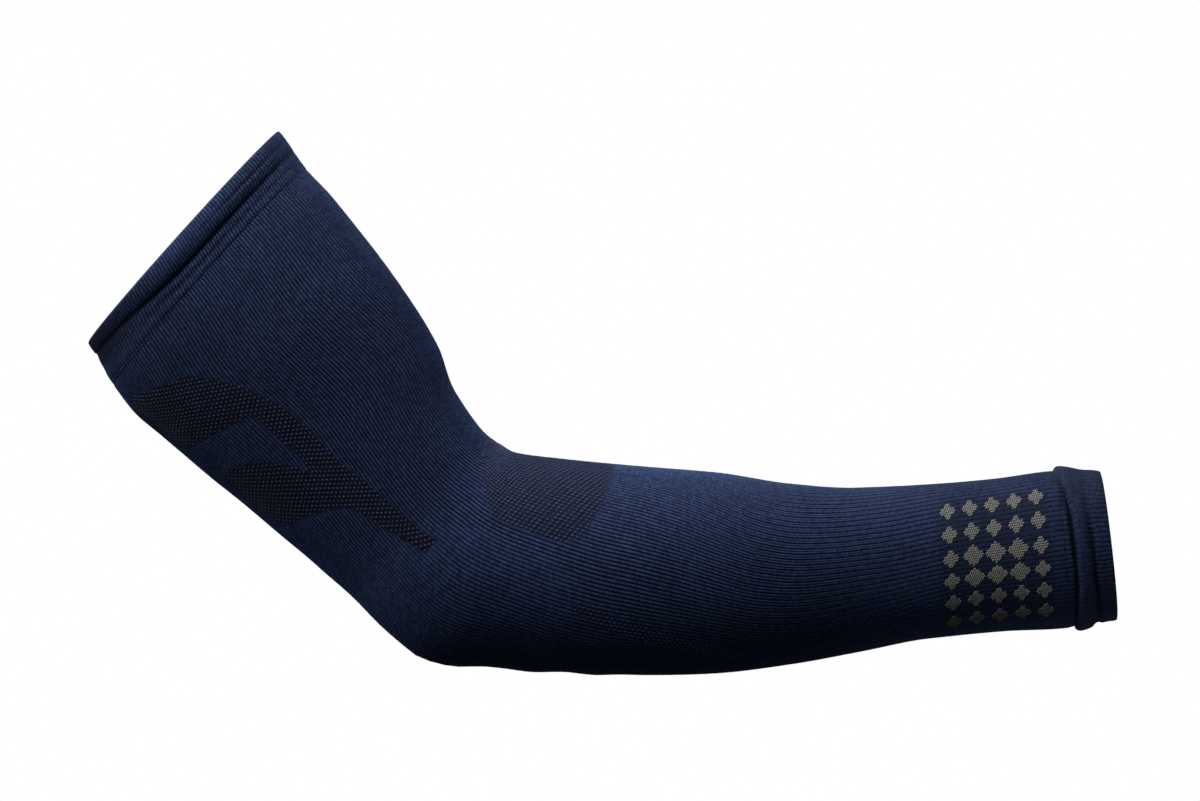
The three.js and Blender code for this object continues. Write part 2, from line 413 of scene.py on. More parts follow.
def knitTube():
    # The tube's ends run on under the welts and sink a little there, so that no gap shows.
    start = -arm["upperArmLength"] + upperHem["width"] - knit["underWelt"]
    end = arm["forearmLength"] - wristHem["width"] + knit["underWelt"]

    def faceHeight(along, angle):
        under = 1 - smooth(min(along - start, end - along) / knit["sinkLength"])
        return rippleHeight(along, angle) - knit["sinkDepth"] * under

    def backHeight(along, angle):
        return -knit["wall"]

    shell = newShell()
    rowCount = math.ceil((end - start) / knit["rowStep"]) + 1
    rows = [sideChains(shell, along, faceHeight, 0) for along in np.linspace(start, end, rowCount)]
    backRowCount = math.ceil((end - start) / knit["backRowStep"]) + 1
    backRows = [sideChains(shell, along, backHeight, 1) for along in np.linspace(end, start, backRowCount)]
    for chains in (rows, backRows):
        for low, high in zip(chains, chains[1:]):
            zipSides(shell, low, high, "phase")
    zipSides(shell, rows[-1], backRows[0], "angle")
    zipSides(shell, backRows[-1], rows[0], "angle")
    return shellMesh("sleeve_knit", shell, tubeFields)


def tubeFields(along, angle, height, phase, back):
    tuck = np.maximum(depthIn(tuckWings, along, angle), np.minimum(depthIn(underWedge, along, angle), 0))
    elbow = depthIn(insideElbow, along, angle)
    plain = depthIn(plainElbow, along, angle)
    figure = np.where(angle > 0, depthIn(figureGround, along, angle), farOutside)
    fromInside = phase - flowAt("offset", along)
    fromEdge = np.minimum(fromInside, flowAt("ribs", along) / 2 - fromInside)
    ribShare = smooth(fromEdge / knit["runOffRibs"])
    for zone, left, fade in (
        (plain, "plainRibShare", "plainRibFade"), (tuck, "meshRibShare", "zoneFade"),
        (elbow, "meshRibShare", "zoneFade"), (figure, "figureRibShare", "zoneFade"),
    ):
        ribShare = ribShare * (1 - (1 - knit[left]) * insideShare(zone, knit[fade]))
    return {
        "ribShare": np.where(back > 0, 0, ribShare),
        "tuckDepth": tuck,
        "elbowDepth": elbow,
        "figureDepth": figure,
        "ribPairing": flowAt("pairing", along),
    }


# The welts: a rolled and stitched band at each end of the sleeve. At middle the roll or the ridge gives way
# to the rest. The slants, in radians, and wander, in ribs, turn the ribs from a straight course.
# flattenInside and flattenOutside press the relief flat along the inside and the outside of the bend.

upperHem = {
    "width": 18.0,
    "lift": 1.9,
    "rollNarrowing": 0.45,
    "rollEnd": 0.54,
    "ribs": 196,
    "middle": 0.56,
    "rollSlant": 0.013,
    "bandSlant": 0.026,
    "wander": 0.1,
    "flattenInside": 0.92,
    "flattenOutside": 0.75,
    "sharpness": 1.7,
    "ridgeFrom": 0.5,
    "ridgeSmooths": 0.25,
    "creaseDepth": 0.7,
    "creaseSmooths": 0.5,
    "creaseShade": 0.8,
    "outsideShade": 0.65,
    "edgeFade": 0.025,
    "tuckUnder": (0.0, 0.79, 0.03),  # how deep past the crease, and from which share over how much
    "rows": 46,
    "backColumns": 96,
}
wristHem = {
    "width": 17.5,
    "lift": 2.0,
    "rollEnd": 0.0,
    "ribs": 88,
    "middle": 0.56,
    "rollSlant": 0.0,
    "bandSlant": 0.0,
    "wander": 0.14,
    "flattenInside": 0.0,
    "flattenOutside": 0.0,
    "creaseShift": (0.29, 0.14),  # of the crease beside the ridge, along the inside and the outside
    "shiftFrom": 0.3,
    "shiftOver": 0.5,
    "shiftEnds": 0.2,
    "sharpness": 3.0,
    "ridgeFrom": 0.5,
    "ridgeSmooths": 0.65,
    "creaseDepth": 0.5,
    "creaseSmooths": 0.5,
    "creaseShade": 0.9,
    "outsideShade": 0.0,
    "edgeFade": 0.025,
    "tuckUnder": (0.6, 0.79, 0.03),
    "rows": 52,
    "backColumns": 64,
}

# The outside of each welt from its open edge to the tube, as shares of its width and of its lift above the
# knit. The rows up to rollEnd are the upper welt's roll. The wrist welt has none.
upperHemRows = [
    (0.0, -0.4), (0.015, 0.1), (0.06, 0.55), (0.13, 0.85), (0.22, 1.0), (0.32, 0.97), (0.41, 0.75),
    (0.49, 0.35), (0.54, -0.4), (0.575, -0.4), (0.615, 0.0), (0.68, 0.17), (0.76, -0.06), (0.79, -0.06),
    (0.86, 0.14), (0.92, 0.1), (0.955, -0.14), (0.975, -0.14), (1.0, -0.02),
]
wristHemRows = [
    (0.0, -0.3), (0.015, 0.2), (0.08, 0.42), (0.24, 0.5), (0.36, 0.5), (0.44, 0.55), (0.52, 0.8),
    (0.6, 0.96), (0.66, 1.0), (0.72, 0.85), (0.765, 0.3), (0.79, -0.36), (0.83, -0.36), (0.875, -0.04),
    (0.91, 0.0), (0.97, 0.0), (1.0, -0.2),
]

# Dips that show on a part of a welt only: where they are, how wide and deep, round which angle and how far.
# A swelling is a dip with a depth below nothing.
upperHemDips = [(0.29, 0.035, 0.34, 0.5, 0.95), (0.66, 0.03, 0.08, 0.6, 1.2)]
wristHemDips = [
    (0.41, 0.06, 0.85, 2.2, 1.3), (0.82, 0.045, 0.4, 0.6, 1.3), (0.22, 0.2, -0.2, 0.0, 1.3),
    (0.22, 0.16, 0.26, math.pi, 1.3), (0.45, 0.1, -0.1, 0.0, 1.0),
]
dipFade = 0.6  # radians
weltBrightness = 1.05

# The inside of both welts, as shares of the width and of the wall. It thins where the tube comes under it.
weltBackRows = [(1.0, 0.6), (0.85, 1.0), (0.5, 1.0), (0.06, 1.0)]

# Pairs of waves that don't repeat together, which make the ribs wander over a welt: the pair's height, and
# for each wave how fast it runs across the welt and round it, and its start.
wanderWaves = [
    (1.0, (9.1, 5, 0.0), (3.7, 13, 1.3)),
    (0.7, (21.0, 29, 0.0), (14.0, 47, 0.7)),
]


def dipAt(dips, share, angle):
    depth = 0
    for place, spread, deepest, middle, reach in dips:
        away = np.abs((angle - middle + math.pi) % fullTurn - math.pi)
        deep = deepest * smooth((reach - away) / dipFade)
        depth = depth + deep * np.exp(-(((share - place) / spread) ** 2))
    return depth


def wanderAt(share, turn):
    wander = 0
    for height, *waves in wanderWaves:
        first, second = (np.sin(across * share + around * turn + start) for across, around, start in waves)
        wander = wander + height * first * second
    return wander


def rowPlace(welt, share, angle, inside, outside):
    # How far across the welt a row lies. The roll narrows towards the outside of the bend, and the crease of
    # the wrist welt shifts along both: the cubes keep that off the sides.
    if welt["rollEnd"]:
        narrowed = 1 - welt["rollNarrowing"] * smooth(-np.cos(angle))
        stretch = (1 - welt["rollEnd"] * narrowed) / (1 - welt["rollEnd"])
        return share * narrowed if share <= welt["rollEnd"] else 1 - (1 - share) * stretch
    shift = welt["creaseShift"][0] * inside ** 3 + welt["creaseShift"][1] * outside ** 3
    come, go = smooth((share - welt["shiftFrom"]) / welt["shiftOver"]), (1 - share) / welt["shiftEnds"]
    return share + shift * min(come, go)


def weltMesh(name, welt, rows, dips, edge, towardsTube):
    places, lifts = np.array(rows).T
    phases = (np.arange(welt["ribs"])[:, None] + ribStations).ravel()
    phases = np.append(phases, welt["ribs"])  # the last column closes the ring
    ribTurn = np.round(phases) / welt["ribs"] * fullTurn
    # The welt's ribs carry on from the tube's, on the side that the camera sees.
    tubeEnd = edge + towardsTube * welt["width"]
    ribsToRib = round(welt["ribs"] / float(flowAt("ribs", tubeEnd)), 1)
    firstPhase = float(flowAt("offset", tubeEnd)) * ribsToRib % 1
    shell = newShell()
    chains = []
    # Rows gather where the profile bends most, which is at the edge and in the creases.
    for share in np.unique(np.concatenate([np.linspace(0, 1, welt["rows"]), places])):
        wander = welt["wander"] * wanderAt(share, ribTurn)
        angles = turnAngle(edge, (phases + wander - firstPhase) / welt["ribs"])
        onRoll, onBand = 1 - min(share / welt["middle"], 1), min((1 - share) / (1 - welt["middle"]), 1)
        angles = angles - welt["rollSlant"] * onRoll - welt["bandSlant"] * onBand
        inside, outside = np.clip(np.cos(angles), 0, 1), np.clip(-np.cos(angles), 0, 1)
        along = edge + towardsTube * rowPlace(welt, share, angles, inside, outside) * welt["width"]
        flattened = 1 - welt["flattenInside"] * inside ** 3 - welt["flattenOutside"] * smooth(outside)
        height = (curveThrough(places, lifts, share) - dipAt(dips, share, angles)) * welt["lift"] * flattened
        # Past the crease a welt goes under the knit where its ridge overhangs.
        underDepth, underFrom, underFade = welt["tuckUnder"]
        overhang = np.maximum(inside, outside) ** 3
        height = height - underDepth * overhang * smooth((share - underFrom) / underFade)
        vertices = addVertices(shell, along[:-1], angles[:-1], height[:-1], phases[:-1], 0)
        chains.append((vertices + vertices[:1], angles))
    backAngles = np.linspace(0, fullTurn, welt["backColumns"] + 1)
    for share, depth in weltBackRows:
        along = edge + towardsTube * share * welt["width"]
        vertices = addVertices(shell, along, backAngles[:-1], -knit["wall"] * depth, 0, 1)
        chains.append((vertices + vertices[:1], backAngles))
    for i in range(len(chains)):
        zipRows(shell, *chains[i - 1], *chains[i])

    def weltFields(along, angle, height, phase, back):
        share = np.abs(along - edge) / welt["width"]
        onEdges = smooth(share / welt["edgeFade"]) * smooth((1 - share) / welt["edgeFade"])
        onRidge = smooth(height / welt["lift"] / welt["ridgeFrom"] - 1)
        # Little light comes into a crease, or where the roll turns away from it at the outside of the arm.
        crease = smooth(-height / welt["creaseDepth"])
        turned = np.clip(-np.cos(angle), 0, 1) ** 2 * (share < welt["middle"])
        shade = (1 - welt["creaseShade"] * crease) * (1 - welt["outsideShade"] * turned)
        ribbed = onEdges * (1 - welt["ridgeSmooths"] * onRidge) * (1 - welt["creaseSmooths"] * crease)
        away, same = np.full(len(along), farOutside), np.ones(len(along))
        # The colour is scaled by the painted light and shade along and round the arm, and by the painted
        # shade above.
        return {
            "ribShare": np.where(back > 0, 0, ribbed), "paintedLightAndShade": paintedLightAt(along, angle) * shade,
            "tuckDepth": away, "elbowDepth": away, "figureDepth": away,
            "ribPairing": 0 * same, "ribSharpness": welt["sharpness"] * same,
        }

    return shellMesh(name, shell, weltFields)


# Small helpers for colours and nodes.

def toLinear(hexColour):
    channels = [int(hexColour[i:i + 2], 16) / 255 for i in (1, 3, 5)]
    return [c / 12.92 if c <= 0.04045 else ((c + 0.055) / 1.055) ** 2.4 for c in channels] + [1.0]


def addNode(tree, kind, settings=None, inputs=None):
    node = tree.nodes.new(kind)
    for name, value in (settings or {}).items():
        setattr(node, name, value)
    for name, value in (inputs or {}).items():
        if isinstance(value, bpy.types.Node):
            value = value.outputs[0]
        if isinstance(value, bpy.types.NodeSocket):
            tree.links.new(value, node.inputs[name])
        else:
            node.inputs[name].default_value = value
    return node


def newMaterial(name):
    material = bpy.data.materials.new(name)
    material.use_nodes = True
    material.node_tree.nodes.clear()
    return material, material.node_tree


def nearWhole(tree, value):
    # 1 at the whole numbers and 0 halfway between them.
    share = addNode(tree, "ShaderNodeMath", {"operation": "FRACT"}, {0: value})
    signed = addNode(tree, "ShaderNodeMath", {"operation": "MULTIPLY_ADD"}, {0: share, 1: 2.0, 2: -1.0})
    return addNode(tree, "ShaderNodeMath", {"operation": "ABSOLUTE"}, {0: signed})


def ribGroove(tree, phase, sharpness, pairing):
    # How far a place is from the crest of its rib, and how deep in the groove, which is shallower in every
    # second groove where the ribs go in pairs.
    fromCrest = nearWhole(tree, phase)
    narrow = addNode(tree, "ShaderNodeMath", {"operation": "POWER"}, {0: fromCrest, 1: sharpness})
    half = addNode(tree, "ShaderNodeMath", {"operation": "MULTIPLY"}, {0: phase, 1: 0.5})
    oddness = addNode(
        tree, "ShaderNodeMath", {"operation": "SUBTRACT"}, {0: 1.0, 1: nearWhole(tree, half)}
    )
    faded = addNode(tree, "ShaderNodeMath", {"operation": "MULTIPLY"}, {0: oddness, 1: pairing})
    kept = addNode(tree, "ShaderNodeMath", {"operation": "SUBTRACT"}, {0: 1.0, 1: faded})
    return fromCrest, addNode(tree, "ShaderNodeMath", {"operation": "MULTIPLY"}, {0: narrow, 1: kept})


# Nearly all of a noise texture's values lie between these.
noiseRange = {"From Min": 0.3, "From Max": 0.7}

# Ribbed nylon and elastane: lit ridges over grooves painted near-black as shade, with the speckle of its
# loops.
navyYarn = {
    "ridge": "#44598d",
    # painted shade in the grooves
    "groove": "#04050a",
    "tuckGround": "#191c2f",
    "elbowGround": "#212843",
    "figureGround": "#34436c",
    "tuckEdge": 0.7,
    "elbowEdge": 2.2,
    "figureEdge": 2.0,
    "raggedness": 1.8,
    "loopShade": 0.5,
    "loopSparkle": 0.35,
    "loopRelief": 0.12,
    "bumpStrength": 0.7,
    "fuzzSize": 0.7,
    "fuzzRoughness": 0.6,
    "fuzzShade": 0.1,
    "patchSize": 26.0,
    "patchRoughness": 0.5,
    "patchShade": 0.06,
    "noiseDetail": 2.0,
    "roughness": 0.82,
    "specular": 0.25,
    "sheen": 0.12,
    "sheenRoughness": 0.4,
    "sheenTint": "#8fa6d8",
}


def knitMaterial(name, yarn, brightness):
    material, tree = newMaterial(name)
    phase, along, ribShare, sharpness, contrast, pairing, paintedLightAndShade = (
        addNode(tree, "ShaderNodeAttribute", {"attribute_name": attribute}).outputs["Fac"]
        for attribute in (
            "ribPhase", "alongArm", "ribShare", "ribSharpness", "ribDepth", "ribPairing", "paintedLightAndShade"
        )
    )
    place = addNode(tree, "ShaderNodeTexCoord").outputs["Object"]
    fromCrest, groove = ribGroove(tree, phase, sharpness, pairing)
    for scale in (contrast, ribShare):
        groove = addNode(tree, "ShaderNodeMath", {"operation": "MULTIPLY"}, {0: groove, 1: scale})

    # Loops lie as chevrons on each rib, with a dark gap between them.
    course = addNode(tree, "ShaderNodeMath", {"operation": "DIVIDE"}, {0: along, 1: knit["coursePitch"]})
    leaning = addNode(
        tree, "ShaderNodeMath", {"operation": "MULTIPLY_ADD"},
        {0: fromCrest, 1: knit["chevronLean"], 2: course},
    )
    loopGap = addNode(tree, "ShaderNodeMath", {"operation": "POWER"}, {0: nearWhole(tree, leaning), 1: 2.0})

    # Each loop takes the light a little differently.
    wale, row = (
        addNode(tree, "ShaderNodeMath", {"operation": "FLOOR"}, {0: count}) for count in (phase, leaning)
    )
    loopPlace = addNode(tree, "ShaderNodeCombineXYZ", {}, {0: wale, 1: row})
    sparkle = addNode(tree, "ShaderNodeTexWhiteNoise", {"noise_dimensions": "2D"}, {"Vector": loopPlace})
    fuzz, patches = (
        addNode(tree, "ShaderNodeTexNoise", {}, {
            "Vector": place, "Scale": 1 / (yarn[kind + "Size"] * mm), "Detail": yarn["noiseDetail"],
            "Roughness": yarn[kind + "Roughness"],
        })
        for kind in ("fuzz", "patch")
    )

    # Painted shade: the grooves are mixed towards near-black, darker than their relief alone shades them.
    ribColour = addNode(
        tree, "ShaderNodeMix", {"data_type": "RGBA"},
        {"Factor": groove, 6: toLinear(yarn["ridge"]), 7: toLinear(yarn["groove"])},
    ).outputs[2]
    # The edges of the zones are ragged, as single loops take part.
    centred = addNode(tree, "ShaderNodeMath", {"operation": "SUBTRACT"}, {0: fuzz, 1: 0.5})
    for zone in ("elbow", "figure", "tuck"):
        depth = addNode(tree, "ShaderNodeAttribute", {"attribute_name": zone + "Depth"}).outputs["Fac"]
        ragged = addNode(
            tree, "ShaderNodeMath", {"operation": "MULTIPLY_ADD"},
            {0: centred, 1: yarn["raggedness"], 2: depth},
        )
        mask = addNode(
            tree, "ShaderNodeMapRange", {"interpolation_type": "SMOOTHSTEP"},
            {"Value": ragged, "From Min": -yarn[zone + "Edge"], "From Max": yarn[zone + "Edge"]},
        )
        ribColour = addNode(
            tree, "ShaderNodeMix", {"data_type": "RGBA"},
            {"Factor": mask, 6: ribColour, 7: toLinear(yarn[zone + "Ground"])},
        ).outputs[2]

    tone = addNode(
        tree, "ShaderNodeMath", {"operation": "MULTIPLY_ADD"},
        {0: loopGap, 1: -yarn["loopShade"], 2: brightness},
    )
    for noise, shade, between in (
        (fuzz, "fuzzShade", noiseRange), (sparkle, "loopSparkle", {}), (patches, "patchShade", noiseRange),
    ):
        uneven = addNode(
            tree, "ShaderNodeMapRange", {},
            {"Value": noise, **between, "To Min": 1 - yarn[shade], "To Max": 1 + yarn[shade]},
        )
        tone = addNode(tree, "ShaderNodeMath", {"operation": "MULTIPLY"}, {0: tone, 1: uneven})
    # Painted light and shade: the colour is scaled along and round the arm, and darkened in the welts'
    # creases.
    tone = addNode(tree, "ShaderNodeMath", {"operation": "MULTIPLY"}, {0: tone, 1: paintedLightAndShade})
    colour = addNode(tree, "ShaderNodeVectorMath", {"operation": "SCALE"}, {0: ribColour, "Scale": tone})

    relief = addNode(tree, "ShaderNodeMath", {"operation": "SUBTRACT"}, {0: fuzz, 1: loopGap})
    bump = addNode(
        tree, "ShaderNodeBump", {},
        {"Height": relief, "Strength": yarn["bumpStrength"], "Distance": yarn["loopRelief"] * mm},
    )
    surface = addNode(tree, "ShaderNodeBsdfPrincipled", {}, {
        "Base Color": colour, "Normal": bump, "Roughness": yarn["roughness"],
        "Specular IOR Level": yarn["specular"], "Sheen Weight": yarn["sheen"],
        "Sheen Roughness": yarn["sheenRoughness"], "Sheen Tint": toLinear(yarn["sheenTint"]),
    })
    addNode(tree, "ShaderNodeOutputMaterial", {}, {"Surface": surface})
    return material


# The back of the knit: flatter, duller loops that lie across the arm.
backYarn = {
    "colour": "#141d33",
    "courseSize": 1.1,
    "courseRelief": 0.3,
    "fuzzSize": 0.9,
    "fuzzDetail": 2.0,
    "reliefRange": {"From Min": 0.1, "From Max": 0.9},
    "toneRange": {"To Min": 0.6, "To Max": 1.3},
    "bumpStrength": 0.6,
    "relief": 0.2,
    "roughness": 0.9,
    "specular": 0.2,
}


def backMaterial():
    material, tree = newMaterial("purl_side_knit")
    along = addNode(tree, "ShaderNodeAttribute", {"attribute_name": "alongArm"}).outputs["Fac"]
    place = addNode(tree, "ShaderNodeTexCoord").outputs["Object"]
    course = addNode(
        tree, "ShaderNodeMath", {"operation": "MULTIPLY"}, {0: along, 1: fullTurn / backYarn["courseSize"]}
    )
    wave = addNode(tree, "ShaderNodeMath", {"operation": "SINE"}, {0: course})
    fuzz = addNode(tree, "ShaderNodeTexNoise", {}, {
        "Vector": place, "Scale": 1 / (backYarn["fuzzSize"] * mm), "Detail": backYarn["fuzzDetail"],
    })
    height = addNode(
        tree, "ShaderNodeMath", {"operation": "MULTIPLY_ADD"}, {0: wave, 1: backYarn["courseRelief"], 2: fuzz}
    )
    tone = addNode(
        tree, "ShaderNodeMapRange", {}, {"Value": height, **backYarn["reliefRange"], **backYarn["toneRange"]}
    )
    colour = addNode(
        tree, "ShaderNodeVectorMath", {"operation": "SCALE"},
        {0: toLinear(backYarn["colour"])[:3], "Scale": tone},
    )
    bump = addNode(
        tree, "ShaderNodeBump", {},
        {"Height": height, "Strength": backYarn["bumpStrength"], "Distance": backYarn["relief"] * mm},
    )
    surface = addNode(tree, "ShaderNodeBsdfPrincipled", {}, {
        "Base Color": colour, "Normal": bump, "Roughness": backYarn["roughness"],
        "Specular IOR Level": backYarn["specular"],
    })
    addNode(tree, "ShaderNodeOutputMaterial", {}, {"Surface": surface})
    return material


# Single stitches of a thicker yarn. Their loops catch more light than the ground.
tuckYarn = {"colour": "#6671a4", "dark": "#3b436d", "fuzzSize": 0.6, "roughness": 0.75, "sheen": 0.04}
elbowYarn = {"colour": "#536392", "dark": "#354068", "fuzzSize": 0.6, "roughness": 0.75, "sheen": 0.08}
greyYarn = {"colour": "#b5b4ae", "dark": "#84837d", "fuzzSize": 0.5, "roughness": 0.8, "sheen": 0.15}
anyStitch = {"fuzzDetail": 3.0, "bumpStrength": 0.5, "relief": 0.1, "specular": 0.3}


def stitchMaterial(name, yarn):
    material, tree = newMaterial(name)
    place = addNode(tree, "ShaderNodeTexCoord").outputs["Object"]
    fuzz = addNode(tree, "ShaderNodeTexNoise", {}, {
        "Vector": place, "Scale": 1 / (yarn["fuzzSize"] * mm), "Detail": anyStitch["fuzzDetail"],
    })
    colour = addNode(
        tree, "ShaderNodeMix", {"data_type": "RGBA"},
        {"Factor": fuzz, 6: toLinear(yarn["dark"]), 7: toLinear(yarn["colour"])},
    ).outputs[2]
    bump = addNode(
        tree, "ShaderNodeBump", {},
        {"Height": fuzz, "Strength": anyStitch["bumpStrength"], "Distance": anyStitch["relief"] * mm},
    )
    surface = addNode(tree, "ShaderNodeBsdfPrincipled", {}, {
        "Base Color": colour, "Normal": bump, "Roughness": yarn["roughness"],
        "Specular IOR Level": anyStitch["specular"], "Sheen Weight": yarn["sheen"],
    })
    addNode(tree, "ShaderNodeOutputMaterial", {}, {"Surface": surface})
    return material


# Geometry Nodes.

def newTree(name, sockets):
    tree = bpy.data.node_groups.new(name, "GeometryNodeTree")
    tree.interface.new_socket("Geometry", in_out="INPUT", socket_type="NodeSocketGeometry")
    for label, kind in sockets:
        tree.interface.new_socket(label, in_out="INPUT", socket_type=kind)
    tree.interface.new_socket("Geometry", in_out="OUTPUT", socket_type="NodeSocketGeometry")
    return tree, addNode(tree, "NodeGroupInput").outputs


def roundAndDye(tree, geometry, yarn):
    rounded = addNode(tree, "GeometryNodeSetShadeSmooth", {}, {"Geometry": geometry, "Shade Smooth": True})
    real = addNode(tree, "GeometryNodeRealizeInstances", {}, {"Geometry": rounded})
    return addNode(tree, "GeometryNodeSetMaterial", {}, {"Geometry": real, "Material": yarn})


# A face belongs to the back where all its corners do, and their mean is then above this.
allCorners = 0.99


def ribTree():
    # Lifts each vertex along its normal by the profile of the rib that it stands on.
    tree, given = newTree("ribRelief", [
        ("Rib height", "NodeSocketFloat"),
        ("Face yarn", "NodeSocketMaterial"), ("Back yarn", "NodeSocketMaterial"),
    ])
    phase, share, back, depth, sharpness, pairing = (
        addNode(tree, "GeometryNodeInputNamedAttribute", {"data_type": "FLOAT"}, {"Name": attribute})
        for attribute in ("ribPhase", "ribShare", "backFace", "ribDepth", "ribSharpness", "ribPairing")
    )
    groove = ribGroove(tree, phase, sharpness, pairing)[1]
    lift = addNode(tree, "ShaderNodeMath", {"operation": "SUBTRACT"}, {0: knit["crestShare"], 1: groove})
    for scale in (depth, share, given["Rib height"]):
        lift = addNode(tree, "ShaderNodeMath", {"operation": "MULTIPLY"}, {0: lift, 1: scale})
    outwards = addNode(tree, "GeometryNodeInputNormal")
    offset = addNode(tree, "ShaderNodeVectorMath", {"operation": "SCALE"}, {0: outwards, "Scale": lift})
    moved = addNode(tree, "GeometryNodeSetPosition", {}, {"Geometry": given["Geometry"], "Offset": offset})
    faced = roundAndDye(tree, moved, given["Face yarn"])
    onBack = addNode(
        tree, "FunctionNodeCompare", {"data_type": "FLOAT", "operation": "GREATER_THAN"},
        {0: back, 1: allCorners},
    )
    both = addNode(
        tree, "GeometryNodeSetMaterial", {},
        {"Geometry": faced, "Selection": onBack, "Material": given["Back yarn"]},
    )
    addNode(tree, "NodeGroupOutput", {}, {"Geometry": both})
    return tree


def stitchTree():
    # Sets one low blob of yarn on each point, turned to the surface and leaning on it.
    tree, given = newTree("stitchField", [
        ("Length", "NodeSocketFloat"), ("Width", "NodeSocketFloat"), ("Height", "NodeSocketFloat"),
        ("Lean", "NodeSocketFloat"), ("Yarn", "NodeSocketMaterial"),
    ])
    outwards, onwards, size = (
        addNode(tree, "GeometryNodeInputNamedAttribute", {"data_type": kind}, {"Name": attribute})
        for attribute, kind in (
            ("outwards", "FLOAT_VECTOR"), ("onwards", "FLOAT_VECTOR"), ("stitchSize", "FLOAT"),
        )
    )
    blob = addNode(tree, "GeometryNodeMeshIcoSphere", {}, {"Radius": 0.5, "Subdivisions": 1})
    shape = addNode(
        tree, "ShaderNodeCombineXYZ", {}, {0: given["Length"], 1: given["Width"], 2: given["Height"]}
    )
    turn = addNode(tree, "ShaderNodeCombineXYZ", {}, {2: given["Lean"]})
    stitch = addNode(tree, "GeometryNodeTransform", {}, {"Geometry": blob, "Scale": shape, "Rotation": turn})
    facing = addNode(
        tree, "FunctionNodeAxesToRotation", {"primary_axis": "Z", "secondary_axis": "X"},
        {0: outwards, 1: onwards},
    )
    placed = addNode(
        tree, "GeometryNodeInstanceOnPoints", {},
        {"Points": given["Geometry"], "Instance": stitch, "Rotation": facing, "Scale": size},
    )
    addNode(tree, "NodeGroupOutput", {}, {"Geometry": roundAndDye(tree, placed, given["Yarn"])})
    return tree


def runTree(piece, tree, values):
    # Runs a tree on a piece and keeps the result as its plain mesh.
    modifier = piece.modifiers.new(tree.name, "NODES")
    modifier.node_group = tree
    for item in tree.interface.items_tree:
        if item.in_out == "INPUT" and item.name in values:
            modifier[item.identifier] = values[item.name]
    seen = bpy.context.evaluated_depsgraph_get()
    made = bpy.data.meshes.new_from_object(
        piece.evaluated_get(seen), preserve_all_data_layers=True, depsgraph=seen
    )
    piece.modifiers.clear()
    piece.data = made
    return piece


# Stitches that stand on the knit. spread is how much their sizes differ.

tuckStitch = {
    "length": 1.0, "width": 0.95, "height": 0.5, "lift": 0.05, "lean": 0, "spread": 0.14, "seed": 11,
    "pitch": 0.98, "margin": 0.3, "middleGap": 1.1,
}
elbowStitch = {
    "length": 1.3, "width": 1.1, "height": 0.5, "lift": 0.05, "lean": 0, "spread": 0.22, "seed": 12,
}
figureStitch = {
    "length": 1.6, "width": 0.9, "height": 0.5, "lift": 0.05, "lean": 50, "spread": 0.08, "seed": 13,
    "pitch": 0.86,
}

# A field of small lozenges, largest in the middle. Its sizes are counted in courses and in ribs.
figure = {
    "middle": 208.0,
    "middleRib": 45,
    "columns": 5,
    "rows": 6,
    "pitch": 10,
    "halfSize": 4.8,
    "fade": 0.4,
}

# Steps along the arm, round it and into it that show how the surface lies at a stitch.
probe = {"along": 0.4, "angle": 0.01, "inwards": 12.0}


def stitchPoints(name, places, stitch):
    # A stitch lies along its rib, whose angle changes a little further on.
    along, phase, side = places
    further, lift = along + probe["along"], stitch["lift"]
    angle, nextAngle = side * ribAngle(along, phase), side * ribAngle(further, phase)
    there = surfacePoint(along, angle, rippleHeight(along, angle) + lift)
    plain = surfacePoint(along, angle, lift)
    onwards = surfacePoint(further, nextAngle, lift) - plain
    around = surfacePoint(along, angle + probe["angle"], lift) - plain
    outwards = np.cross(onwards, around)
    inside = surfacePoint(along, angle, -probe["inwards"])
    outwards *= np.sign(((there - inside) * outwards).sum(1))[:, None]
    mesh = bpy.data.meshes.new(name)
    mesh.from_pydata(there, [], [])
    for attribute, vectors in (("outwards", outwards), ("onwards", onwards)):
        unit = vectors / np.linalg.norm(vectors, axis=1)[:, None]
        addAttribute(mesh, attribute, "FLOAT_VECTOR", "vector", unit)
    sizes = 1 + stitch["spread"] * np.random.default_rng(stitch["seed"]).uniform(-1, 1, len(along))
    addAttribute(mesh, "stitchSize", "FLOAT", "value", sizes)
    return addObject(name, mesh)


def tuckPlaces(outline):
    # Every other rib on one course, and the ribs between them on the next, on both sides of the arm. Where
    # that leaves a gap along the inside of the bend, one more stitch fills it.
    found = []
    places = [along / tuckStitch["pitch"] for along, _ in outline]
    for course in range(math.floor(min(places)), math.ceil(max(places))):
        along = course * tuckStitch["pitch"]
        middle, sideRibs = float(flowAt("offset", along)), float(flowAt("ribs", along)) / 2
        first = math.ceil(middle)
        ribs = np.arange(first + (first + course) % 2, first + sideRibs - 1, 2) + 0.5
        found += [(along, rib, side) for rib in ribs for side in (1, -1)]
        if ribs[0] - middle > tuckStitch["middleGap"]:
            found.append((along, middle, 1))
    along, phase, side = np.array(found).T
    kept = depthIn(outline, along, ribAngle(along, phase)) > tuckStitch["margin"]
    return np.stack([along[kept], phase[kept], side[kept]])


